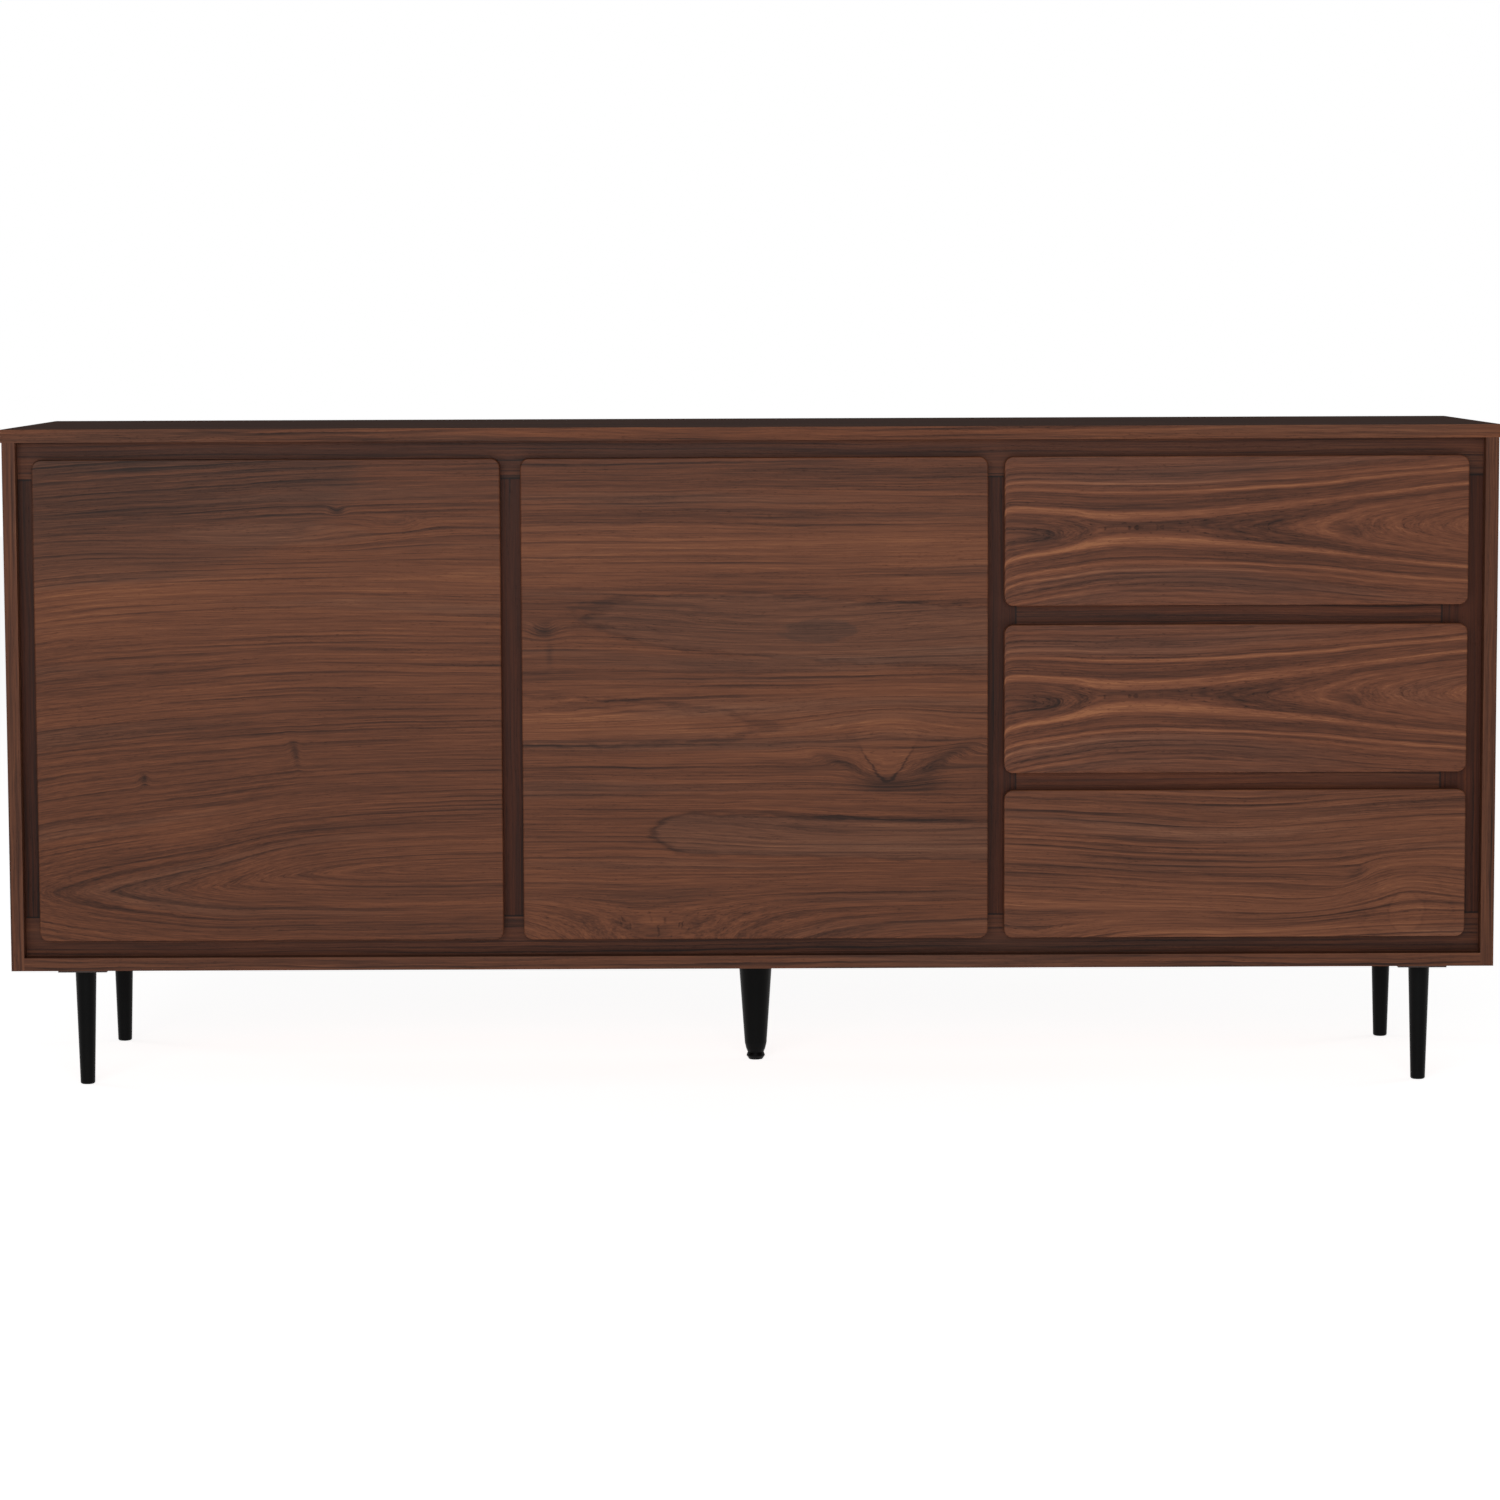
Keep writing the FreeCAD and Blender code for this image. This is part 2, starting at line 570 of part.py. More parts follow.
def hinges(door, edge_x, side, levels):
    """Cups with their pins on a door, and arms on the stile. side is 1 where the door reaches to +X."""
    pin_x = f"({edge_x} + {side}*pivot_setback)"
    pin_y = f"({FRONT_BACK} - pivot_depth)"
    lap = f"({side}*(hinge_lap - pivot_setback))"
    cups = []
    arms = []
    screws = []
    for level in levels:
        mouth = (f"{edge_x} + {side}*cup_setback", FRONT_BACK, level)
        shell = rod("cup_shell", mouth, "-y", "cup_radius", "cup_depth")
        hollow = rod("cup_hollow", mouth, "-y", "cup_radius - cup_wall", "cup_depth - cup_wall")
        pin = rod("hinge_pin", (pin_x, pin_y, f"{level} - pivot_half"), "z", "pivot_radius", "2*pivot_half")
        cups += [cut("hinge_cup", cut("open_cup", shell, hollow), pin), pin]

        base = f"{level} - knuckle_half"
        knuckle = rod("knuckle", (pin_x, pin_y, base), "z", "knuckle_radius", "2*knuckle_half")
        eye = "pivot_radius + pivot_play"
        bore = rod("knuckle_bore", (pin_x, pin_y, base), "z", eye, "2*knuckle_half")
        reach = "(hinge_lap - pivot_setback + arm_thick)"
        web_x = pin_x if side > 0 else f"{pin_x} - {reach}"
        web = box("web", (web_x, f"{pin_y} - arm_thick/2", base), (reach, "arm_thick", "2*knuckle_half"))
        blade_x = f"{pin_x} + {lap}" if side > 0 else f"{pin_x} + {lap} - arm_thick"
        deep = f"{FRAME_BACK} - ({pin_y} - arm_thick/2)"
        neck = box("neck", (blade_x, f"{pin_y} - arm_thick/2", base), ("arm_thick", deep, "2*knuckle_half"))
        blade_low = (blade_x, f"{FRAME_FRONT} + arm_plate_setback", f"{level} - arm_plate_half")
        blade = box("blade", blade_low, ("arm_thick", "frame_thick - arm_plate_setback", "2*arm_plate_half"))
        arm = cut("hinge_arm", fuse("arm_sheet", [knuckle, web, neck, blade]), bore)
        outer_x = f"{pin_x} + {lap} + {side}*arm_thick"
        into = "-x" if side > 0 else "x"
        for offset in (-1, 1):
            face = (outer_x, f"{FRAME_FRONT} + frame_thick/2", f"{level} + {offset}*arm_screw_offset")
            screws.append(screw("hinge_screw", face, into, "screw_radius", "screw_head", "screw_length"))
        arms.append(cut("hinge_arm_bored", arm, group("arm_screws", screws[-2:])))
    subpart(group(door + "_hinge_cups", cups), door + "_hinge_cups")
    subpart(group(door + "_hinge_arms", arms), door + "_hinge_arms")
    return screws


def doors(stiles):
    """Two doors on cup hinges, with a magnetic catch at each free edge."""
    low = "cup_inset"
    high = f"{DOOR_HEIGHT} - cup_inset"
    levels = [f"({FRONTS_LOW} + {text})" for text in (low, high)]
    left_cups = [("cup_setback", text) for text in (low, high)]
    right_cups = [("door_width - cup_setback", text) for text in (low, high)]
    size = ("door_width", DOOR_HEIGHT, "door_bevel")
    left = front_board("left_front", (LEFT_DOOR, FRONT_BACK, FRONTS_LOW), *size, left_cups)
    middle = front_board("middle_front", (MIDDLE_DOOR, FRONT_BACK, FRONTS_LOW), *size, right_cups)
    subpart(left, "left_door")
    subpart(middle, "middle_door")
    left_screws = hinges("left_door", LEFT_DOOR, 1, levels)
    middle_screws = hinges("middle_door", f"({MIDDLE_DOOR} + door_width)", -1, levels)
    left_bores = group("left_hinge_screws", left_screws)
    middle_bores = group("middle_hinge_screws", middle_screws)
    subpart(cut("left_stile", stiles["left_stile"], left_bores), "left_stile")
    subpart(cut("drawer_stile", stiles["drawer_stile"], middle_bores), "drawer_stile")
    subpart(stiles["door_stile"], "door_stile")
    subpart(stiles["right_stile"], "right_stile")
    subpart(group("hinge_screws", left_screws + middle_screws), "hinge_screws")
    middle_level = f"({FRONTS_LOW} + {DOOR_HEIGHT}/2)"
    catches = []
    latches = [
        ("left_door", f"({MIDDLE_DOOR} - door_gap - free_lap - catch_width)"),
        ("middle_door", f"({MIDDLE_DOOR} + free_lap)"),
    ]
    for door, low_x in latches:
        base = f"{middle_level} - catch_half"
        size = ("catch_width", "catch_depth", "2*catch_half")
        catches.append(box("magnetic_catch", (low_x, FRAME_FRONT, base), size))
        size = ("catch_width", "strike_thick", "2*catch_half")
        subpart(box(door + "_strike", (low_x, FRONT_BACK, base), size), door + "_strike")
    subpart(group("magnetic_catches", catches), "magnetic_catches")


def bumpers():
    """Soft bumpers on the face frame behind the fronts."""
    pads = []
    inset = "(free_lap/2 + door_bevel/2)"
    for x in (f"{MIDDLE_DOOR} - door_gap - {inset}", f"{MIDDLE_DOOR} + {inset}"):
        for z in (f"{RAIL_FLOOR} + bumper_inset", f"{RAIL_CEILING} - bumper_inset"):
            pads.append((x, z))
    for n in range(3):
        step = f"{n}*({DRAWER_HEIGHT} + lower_gap)"
        level = f"{FRONTS_LOW} + {DRAWER_HEIGHT}/2 + {step}"
        pads.append((f"{DRAWERS} + drawer_bevel + bumper_radius", level))
        pads.append((f"{OPENING_RIGHT} + hinge_lap/2", level))
    rods = [rod("bumper", (x, FRAME_FRONT, z), "-y", "bumper_radius", "bumper_thick") for x, z in pads]
    subpart(group("bumpers", rods), "bumpers")


def channel(name, wall_x, side, near, far, half, web_near, level):
    """One rolled member of a slide, as a C section standing on the wall at wall_x."""
    width = f"({far} - {near})"
    low_x = f"{wall_x} + {near}" if side > 0 else f"{wall_x} - {far}"
    base = f"({FRAME_FRONT} + slide_setback)"
    whole = box(name + "_sheet", (low_x, base, f"{level} - {half}"), (width, "slide_length", f"2*{half}"))
    at_near = web_near == (side > 0)
    hollow_x = f"{low_x} + slide_sheet" if at_near else low_x
    inside = f"({half} - slide_sheet)"
    hollow = box(
        name + "_hollow",
        (hollow_x, base, f"{level} - {inside}"),
        (f"{width} - slide_sheet", "slide_length", f"2*{inside}"),
    )
    return cut(name, whole, hollow)


def drawers(floors):
    """Three drawers, each a front on a grooved box, on telescopic slides."""
    outers = []
    packers = []
    fronts_low = [
        f"({FRONTS_LOW} + 2*{DRAWER_HEIGHT} + lower_gap + upper_gap)",
        f"({FRONTS_LOW} + {DRAWER_HEIGHT} + lower_gap)",
        FRONTS_LOW,
    ]
    box_left = f"({OPENING_LEFT} + slide_width)"
    box_right = f"({OPENING_RIGHT} - slide_width)"
    end_left = f"({box_left} + box_board)"
    end_width = f"({box_right} - {box_left} - 2*box_board)"
    for name, front_low, floor in zip(("upper", "middle", "lower"), fronts_low, floors):
        drawer = name + "_drawer"
        place = (DRAWERS, FRONT_BACK, front_low)
        front = front_board(drawer + "_board", place, DRAWER_WIDTH, DRAWER_HEIGHT, "drawer_bevel")
        subpart(front, drawer + "_front")
        low = f"({floor} + box_rise)"
        base = box(
            drawer + "_base",
            (f"{end_left} - base_groove", f"{FRONT_BACK} + box_board - base_groove", f"{low} + base_rise"),
            (f"{end_width} + 2*base_groove", "box_length - 2*box_board + 2*base_groove", "base_thick"),
        )
        side_size = ("box_board", "box_length", "box_height")
        sides = [
            box("side", (box_left, FRONT_BACK, low), side_size),
            box("side", (f"{box_right} - box_board", FRONT_BACK, low), side_size),
        ]
        end_size = (end_width, "box_board", "box_height")
        ends = [
            box("end", (end_left, FRONT_BACK, low), end_size),
            box("end", (end_left, f"{FRONT_BACK} + box_length - box_board", low), end_size),
        ]
        subpart(cut(drawer + "_sides", group(drawer + "_side_boards", sides), base), drawer + "_sides")
        subpart(cut(drawer + "_ends", group(drawer + "_end_boards", ends), base), drawer + "_ends")
        subpart(base, drawer + "_bottom")
        level = f"({low} + slide_rise)"
        middles = []
        inners = []
        for wall in ((OPENING_LEFT, 1), (OPENING_RIGHT, -1)):
            outers.append(channel("outer_member", *wall, *OUTER_MEMBER, level))
            middles.append(channel("middle_member", *wall, *MIDDLE_MEMBER, level))
            inners.append(channel("inner_member", *wall, *INNER_MEMBER, level))
        subpart(group(drawer + "_slide_middles", middles), drawer + "_slide_middles")
        subpart(group(drawer + "_slide_inners", inners), drawer + "_slide_inners")
        size_y = "slide_length - frame_thick + slide_setback"
        left_low = (f"{DRAWER_PARTITION} + panel", FRAME_BACK, f"{level} - packer_half")
        wide = f"{OPENING_LEFT} - {DRAWER_PARTITION} - panel"
        packers.append(box("packer", left_low, (wide, size_y, "2*packer_half")))
        wide = f"{CASE_RIGHT} - {OPENING_RIGHT}"
        right_low = (OPENING_RIGHT, FRAME_BACK, f"{level} - packer_half")
        packers.append(box("packer", right_low, (wide, size_y, "2*packer_half")))
    subpart(group("slide_outer_members", outers), "slide_outer_members")
    subpart(group("slide_packers", packers), "slide_packers")


case(legs())
stile_boards, opening_floors = face_frame()
shelves()
doors(stile_boards)
bumpers()
drawers(opening_floors)
doc.recompute()

for item in doc.Objects:
    if "Invalid" in item.State or "Error" in item.State:
        raise ValueError(f"{item.Label} did not compute: {item.State}")
os.makedirs("parts", exist_ok=True)
for item in subparts:
    if item.Shape.isNull() or not item.Shape.isValid():
        raise ValueError(f"{item.Label} has no valid shape")
    item.Shape.exportStep(f"parts/{item.Label}.step")
    print(item.Label, len(item.Shape.Solids), round(item.Shape.Volume))
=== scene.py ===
import math
from dataclasses import dataclass, replace

import bpy
from mathutils import Matrix, Vector


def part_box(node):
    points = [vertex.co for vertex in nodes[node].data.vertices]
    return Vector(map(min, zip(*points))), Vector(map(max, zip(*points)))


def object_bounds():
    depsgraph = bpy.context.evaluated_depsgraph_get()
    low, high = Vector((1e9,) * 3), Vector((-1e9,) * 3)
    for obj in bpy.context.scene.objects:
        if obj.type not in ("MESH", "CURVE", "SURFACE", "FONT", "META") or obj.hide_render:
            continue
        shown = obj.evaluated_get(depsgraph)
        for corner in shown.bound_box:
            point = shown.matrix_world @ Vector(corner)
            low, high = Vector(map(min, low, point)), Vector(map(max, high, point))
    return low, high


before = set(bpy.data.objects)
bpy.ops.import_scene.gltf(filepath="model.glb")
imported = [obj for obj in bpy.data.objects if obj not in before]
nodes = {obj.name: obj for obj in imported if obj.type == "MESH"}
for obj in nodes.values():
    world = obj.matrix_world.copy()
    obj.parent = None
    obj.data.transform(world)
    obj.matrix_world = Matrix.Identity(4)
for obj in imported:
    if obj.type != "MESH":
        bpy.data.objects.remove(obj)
cad_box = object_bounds()
scene = bpy.context.scene

MM = 0.001
FRONT = cad_box[0].y


# ---------------------------------------------------------------- node trees


class Tree:
    """A material's node tree, built by calls that take numbers or other nodes' outputs."""

    def __init__(self, name):
        self.material = bpy.data.materials.new(name)
        self.material.use_nodes = True
        self.tree = self.material.node_tree
        self.shader = self.tree.nodes["Principled BSDF"]

    def node(self, kind, values=(), **settings):
        made = self.tree.nodes.new(kind)
        for key, value in settings.items():
            setattr(made, key, value)
        for key, value in dict(values).items():
            self.feed(made.inputs[key], value)
        return made

    def feed(self, socket, value):
        if isinstance(value, bpy.types.NodeSocket):
            self.tree.links.new(value, socket)
        else:
            socket.default_value = value

    def math(self, operation, *values):
        made = self.node("ShaderNodeMath", enumerate(values), operation=operation)
        return made.outputs[0]

    def add(self, *values):
        total = values[0]
        for value in values[1:]:
            total = self.math("ADD", total, value)
        return total

    def times(self, a, b):
        return self.math("MULTIPLY", a, b)

    def minus(self, a, b):
        return self.math("SUBTRACT", a, b)

    def dot(self, a, b):
        made = self.node("ShaderNodeVectorMath", {0: a, 1: b}, operation="DOT_PRODUCT")
        return made.outputs["Value"]

    def vector(self, x, y, z=0.0):
        return self.node("ShaderNodeCombineXYZ", {0: x, 1: y, 2: z}).outputs[0]

    def noise(self, x, y, z=0.0, detail=2.0, roughness=0.5):
        """Noise of about 0 to 1 at a point whose coordinates are already scaled."""
        values = {"Vector": self.vector(x, y, z), "Scale": 1.0, "Detail": detail, "Roughness": roughness}
        return self.node("ShaderNodeTexNoise", values).outputs["Fac"]

    def streaks(self, u, v, waves, seed, detail=2.0, roughness=0.5):
        """Noise with so many waves a metre along the grain and across it."""
        along, across = waves
        return self.noise(self.times(u, along), self.times(v, across), seed, detail, roughness)

    def cloud(self, scale, detail):
        """Noise that is alike in all directions, with so many waves a metre."""
        values = {"Vector": self.place, "Scale": scale, "Detail": detail}
        return self.node("ShaderNodeTexNoise", values).outputs["Fac"]

    def swing(self, value, amount):
        """Noise turned into a swing of about half the amount either way."""
        return self.times(self.minus(value, 0.5), amount)

    def step(self, value, low, high, bottom=0.0, top=1.0):
        values = {"Value": value, "From Min": low, "From Max": high, "To Min": bottom, "To Max": top}
        return self.node("ShaderNodeMapRange", values, interpolation_type="SMOOTHSTEP").outputs[0]

    def curve(self, value, points):
        """A smooth curve through points, each a share from 0 to 1 and the height there."""
        heights = [height for share, height in points]
        low = min(heights)
        span = max(max(heights) - low, 1e-6)
        made = self.node("ShaderNodeFloatCurve", {"Value": value})
        line = made.mapping.curves[0]
        for number, (share, height) in enumerate(points):
            place = (share, (height - low) / span)
            if number < 2:
                line.points[number].location = place
            else:
                line.points.new(*place)
        made.mapping.update()
        return self.add(self.times(made.outputs[0], span), low)

    def ramp(self, value, stops):
        made = self.node("ShaderNodeValToRGB", {"Fac": value})
        elements = made.color_ramp.elements
        while len(elements) < len(stops):
            elements.new(0.5)
        for element, (place, colour) in zip(elements, stops):
            element.position = place
            element.color = (*colour, 1.0)
        return made.outputs["Color"]

    def mix(self, share, a, b):
        """A mix of two colours."""
        return self.node("ShaderNodeMix", {0: share, 6: a, 7: b}, data_type="RGBA").outputs[2]

    def bump(self, height, strength, distance):
        values = {"Height": height, "Strength": strength, "Distance": distance}
        self.feed(self.shader.inputs["Normal"], self.node("ShaderNodeBump", values).outputs[0])

    def set(self, **values):
        for key, value in values.items():
            self.feed(self.shader.inputs[key.replace("_", " ")], value)

    @property
    def place(self):
        return self.node("ShaderNodeTexCoord").outputs["Object"]

    @property
    def edge_strip_place(self):
        """The place, turned on a board's left and right ends, where the grain of a glued strip runs in Y."""
        place = self.place
        parts = self.node("ShaderNodeSeparateXYZ", {0: place}).outputs
        strip = self.vector(parts["Y"], 0.0, parts["Z"])
        normal = self.node("ShaderNodeTexCoord").outputs["Normal"]
        sideways = self.math("ABSOLUTE", self.dot(normal, (1.0, 0.0, 0.0)))
        share = self.math("GREATER_THAN", sideways, 0.7)
        return self.node("ShaderNodeMix", {0: share, 4: place, 5: strip}, data_type="VECTOR").outputs[1]


def linear(red, green, blue):
    """A colour given in sRGB, 0 to 255, as the shader takes it."""
    shares = (red / 255, green / 255, blue / 255)
    return tuple(c / 12.92 if c <= 0.04045 else ((c + 0.055) / 1.055) ** 2.4 for c in shares)


# ---------------------------------------------------------------- walnut

# Colours in sRGB, 0 to 255, from the darkest streaks to the lightest.
WALNUT = (
    (0.0, (42, 23, 15)),
    (0.3, (78, 45, 30)),
    (0.5, (97, 57, 38)),
    (0.72, (114, 69, 46)),
    (1.0, (142, 92, 60)),
)
SMOKE = (
    (0.0, (40, 27, 22)),
    (0.5, (90, 61, 48)),
    (1.0, (124, 90, 70)),
)
PALE_WOOD = (
    (0.0, (150, 112, 78)),
    (0.5, (186, 148, 108)),
    (1.0, (212, 178, 138)),
)
SMOKY_STREAKS = 0.42
MOST_SMOKE = 0.8

# How far the rings swing, at three scales.
WANDER = 16 * MM
RIPPLE = 3.2 * MM
TREMBLE = 0.7 * MM

# Marks on the leaf, painted shade in the frame's joints and the islands' outlines, and the relief of its
# grain.
JOINT_SHADE_WIDTH = 1.6 * MM
OUTLINE_WIDTH = 2.2 * MM
GRAIN_DEPTH = 0.25 * MM


@dataclass
class Hill:
    """A rise of a leaf's height field, in metres from the leaf's lower left corner. The rings bend round it.

    left, right and half are its reach along the leaf and up or down, and slope tilts it.
    dark marks its middle, the more tightly the larger core is.
    """

    x: float
    z: float
    left: float
    right: float
    half: float
    lift: float = 0.0
    dark: float = 0.0
    core: float = 3.0
    slope: float = 0.0


@dataclass
class Island:
    """A ragged patch of another tone or of smoky colour, placed and shaped as a Hill is.

    line darkens its outline, only on the lower side where cup is true.
    taper narrows it downwards.
    """

    x: float
    z: float
    left: float
    right: float
    half: float
    tone: float = 0.0
    smoke: float = 0.0
    line: float = 0.0
    ragged: float = 0.5
    slope: float = 0.0
    taper: float = 0.0
    cup: bool = False


@dataclass
class Figure:
    """The pattern of a leaf's rings, in metres, with shares of its length or of depth as the curves' places.

    A crown is a set of nested arches round an axis. crown gives how far the middle arch stands from the axis,
    point how blunt the arches are, and fade the height above which the axis no longer leans.
    stain gives the tone at a share of depth, a height of the field.
    """

    length: float = 1.0
    axis: tuple = ()
    crown: tuple = ()
    point: float = 2.0
    fade: float = 0.0
    stain: tuple = ()
    depth: float = 1.0
    spacing: float = 0.0065
    rings: float = 1.0
    zones: float = 1.0
    wander: float = 1.0
    hills: tuple = ()
    islands: tuple = ()


PLAIN = Figure()


def reach(g, u, v, patch):
    """How far a point is from a patch's middle, along the leaf to each side and across it."""
    du = g.minus(u, patch.x)
    dv = g.minus(g.minus(v, patch.z), g.times(du, patch.slope))
    left = g.math("DIVIDE", g.math("MINIMUM", du, 0.0), patch.left)
    right = g.math("DIVIDE", g.math("MAXIMUM", du, 0.0), patch.right)
    return left, right, g.math("DIVIDE", dv, patch.half)


def squares(g, parts):
    return g.add(*(g.times(part, part) for part in parts))


def bell(g, square):
    return g.math("EXPONENT", g.times(square, -1.0))


def ring_height(g, u, v, figure, seed):
    """The height field without its hills: the place across the leaf, wandering, and bent into a crown."""
    wander = g.swing(g.streaks(u, v, (2.2, 9), seed), WANDER * figure.wander)
    ripple = g.swing(g.streaks(u, v, (11, 40), seed + 3), RIPPLE)
    tremble = g.swing(g.streaks(u, v, (60, 160), seed + 5, 1), TREMBLE)
    s = g.add(v, wander, ripple, tremble)
    if not figure.crown:
        return s
    share = g.math("DIVIDE", u, figure.length)
    level = figure.axis[0][1]
    lean = g.minus(g.curve(share, figure.axis), level)
    if figure.fade:
        lean = g.times(lean, g.step(v, figure.fade, level))
    side = g.math("ABSOLUTE", g.minus(g.minus(s, level), lean))
    middle = g.curve(share, figure.crown)
    total = g.add(g.math("POWER", side, figure.point), g.math("POWER", middle, figure.point))
    return g.math("POWER", total, 1.0 / figure.point)


def add_hills(g, s, u, v, hills):
    """The height field with its hills, and the darkness of their middles."""
    dark = 0.0
    for hill in hills:
        square = squares(g, reach(g, u, v, hill))
        s = g.add(s, g.times(bell(g, square), hill.lift))
        if hill.dark:
            core = g.math("EXPONENT", g.times(square, -hill.core))
            dark = g.add(dark, g.times(core, hill.dark))
    return s, dark


def joint_shade_lines(g, u, joint_shades):
    """Painted shade of the grooves where rails and stiles meet, as dark lines across the grain."""
    dark = 0.0
    for joint_shade in joint_shades:
        off = g.math("DIVIDE", g.minus(u, joint_shade), JOINT_SHADE_WIDTH)
        dark = g.add(dark, bell(g, g.times(off, off)))
    return dark


def island_marks(g, u, v, islands, seed):
    """The islands' shift of tone and share of smoky colour."""
    shift = 0.0
    smoke = 0.0
    for island in islands:
        left, right, upright = reach(g, u, v, island)
        if island.taper:
            widen = g.step(upright, -1.0, 1.0, 1.0 - island.taper, 1.0 + island.taper)
            left = g.math("DIVIDE", left, widen)
            right = g.math("DIVIDE", right, widen)
        radius = g.math("SQRT", squares(g, (left, right, upright)))
        coast = g.streaks(u, v, (22, 90), seed + 47, 3, 0.6)
        radius = g.add(radius, g.swing(coast, island.ragged))
        inside = g.step(radius, 1.06, 0.9)
        shore = g.times(g.minus(radius, 1.0), island.half / OUTLINE_WIDTH)
        outline = bell(g, g.times(shore, shore))
        if island.cup:
            outline = g.times(outline, g.step(upright, 0.2, -0.5))
        shift = g.add(shift, g.times(inside, island.tone), g.times(outline, -island.line))
        smoke = g.add(smoke, g.times(inside, island.smoke))
    return shift, smoke


def ring_lines(g, u, s, figure, seed):
    """Dark late wood at the end of each ring, fading in and out along it."""
    drift = g.swing(g.streaks(u, s, (0.6, 22), seed + 29, 1), 2.4)
    phase = g.math("FRACT", g.add(g.math("DIVIDE", s, figure.spacing), drift))
    latewood = g.times(g.step(phase, 0.45, 0.93), g.step(phase, 1.0, 0.955))
    faded = g.step(g.streaks(u, s, (2.6, 60), seed + 31, 1), 0.36, 0.66)
    return g.times(latewood, faded)


def pore_dots(g, u, s, seed):
    """Open pores as short dark dashes, in crowds."""
    dots = g.streaks(u, s, (120, 1500), seed + 37, 1)
    crowd = g.streaks(u, s, (5, 140), seed + 41, 1)
    return g.times(g.step(dots, 0.60, 0.72), g.step(crowd, 0.35, 0.65))


def tinted(stops, tint):
    """The stops of a colour ramp, each colour multiplied by the tint."""
    return [(at, linear(*(share * c for share, c in zip(tint, rgb)))) for at, rgb in stops]


def walnut(
    name, along, across, figure=PLAIN, tint=(1.0, 1.0, 1.0), contrast=1.0, gloss=0.42, seed=0.0,
    joint_shades=(), strips=False,
):
    """Sliced walnut veneer. Growth rings are the level lines of a height field s over the leaf.

    along and across are directions in the row frame, with the leaf's corner as their fourth number.
    Painted shade of the grooves where pieces meet falls as dark lines across the grain, each at a given
    distance along it.
    strips is true where a board's ends carry glued edge strips.
    """
    g = Tree(name)
    place = g.edge_strip_place if strips else g.place
    u = g.minus(g.dot(place, along[:3]), along[3])
    v = g.minus(g.dot(place, across[:3]), across[3])

    s, dark = add_hills(g, ring_height(g, u, v, figure, seed), u, v, figure.hills)
    # painted shade in the joints' grooves joins the dark of the hills' middles
    dark = g.add(dark, joint_shade_lines(g, u, joint_shades))
    shift, smoke = island_marks(g, u, v, figure.islands, seed)
    ring = ring_lines(g, u, s, figure, seed)
    pores = pore_dots(g, u, s, seed)

    zones = g.streaks(u, s, (1.1, 26), seed + 11)
    bands = g.streaks(u, s, (1.8, 105), seed + 13, 3, 0.6)
    lines = g.streaks(u, s, (4.5, 430), g.add(g.times(v, 60), seed + 17), 3, 0.6)
    fibres = g.streaks(u, s, (22, 1500), g.add(g.times(v, 400), seed + 19), 2, 0.6)
    shade = g.streaks(u, v, (3, 7), seed + 23)

    tone = g.add(
        0.5,
        g.swing(zones, 0.75 * contrast * figure.zones),
        g.swing(bands, 0.80 * contrast),
        g.swing(lines, 0.80),
        g.swing(fibres, 0.80),
        g.swing(shade, 0.22),
        g.times(ring, -0.34 * contrast * figure.rings),
        g.times(pores, -0.26),
        g.times(dark, -1.2),
        shift,
    )
    if figure.stain:
        stain = g.curve(g.math("DIVIDE", s, figure.depth), figure.stain)
        tone = g.add(tone, g.minus(stain, 0.5))
    streaks = g.step(g.streaks(u, s, (1.6, 30), seed + 43), 0.5, 0.72, 0.0, SMOKY_STREAKS)
    # the hills' dark middles and the painted joint shade also turn the colour smoky
    smoke = g.math("MINIMUM", g.add(smoke, streaks, g.times(dark, 0.5)), MOST_SMOKE)
    colour = g.mix(smoke, g.ramp(tone, tinted(WALNUT, tint)), g.ramp(tone, tinted(SMOKE, tint)))

    rough = g.add(gloss, g.swing(lines, 0.10), g.times(pores, 0.12))
    relief = g.add(g.times(fibres, 0.35), g.times(lines, 0.3), g.times(pores, -0.8), g.times(ring, -0.25))
    g.set(Base_Color=colour, Roughness=rough, Specular_IOR_Level=0.15)
    g.bump(relief, 0.35, GRAIN_DEPTH)
    return g.material


# ---------------------------------------------------------------- other materials

# Waves a metre of the faint lines that drawing leaves on sheet steel.
DRAWING_MARKS = (180.0, 14.0, 900.0)

def lacquer():
    """Satin black lacquer on turned wood."""
    g = Tree("black_lacquer")
    peel = g.cloud(260.0, 3.0)
    handled = g.cloud(16.0, 4.0)
    colour = g.ramp(handled, [(0.3, linear(5, 5, 5)), (0.7, linear(10, 10, 10))])
    rough = g.add(0.40, g.swing(handled, 0.16), g.swing(peel, 0.06))
    g.set(Base_Color=colour, Roughness=rough, Specular_IOR_Level=0.07)
    g.bump(peel, 0.12, 0.2 * MM)
    return g.material


def pale_wood(name, along, across, light=1.0, seed=7.0):
    """Light straight-grained wood of drawer boxes and packers."""
    g = Tree(name)
    place = g.place
    u = g.dot(place, along)
    v = g.dot(place, across)
    s = g.add(v, g.swing(g.streaks(u, v, (3, 12), seed), 10 * MM))
    bands = g.streaks(u, s, (1.5, 90), seed + 1, 3, 0.6)
    lines = g.streaks(u, s, (8, 520), seed + 2, 2, 0.6)
    flecks = g.step(g.streaks(u, s, (90, 1100), seed + 3, 1), 0.62, 0.74)
    tone = g.add(0.5, g.swing(bands, 0.7), g.swing(lines, 0.5), g.times(flecks, -0.18))
    colour = g.ramp(tone, tinted(PALE_WOOD, (light, light, light)))
    g.set(Base_Color=colour, Roughness=g.add(0.5, g.swing(lines, 0.12)), Specular_IOR_Level=0.35)
    g.bump(g.add(lines, g.times(flecks, -0.6)), 0.25, 0.2 * MM)
    return g.material


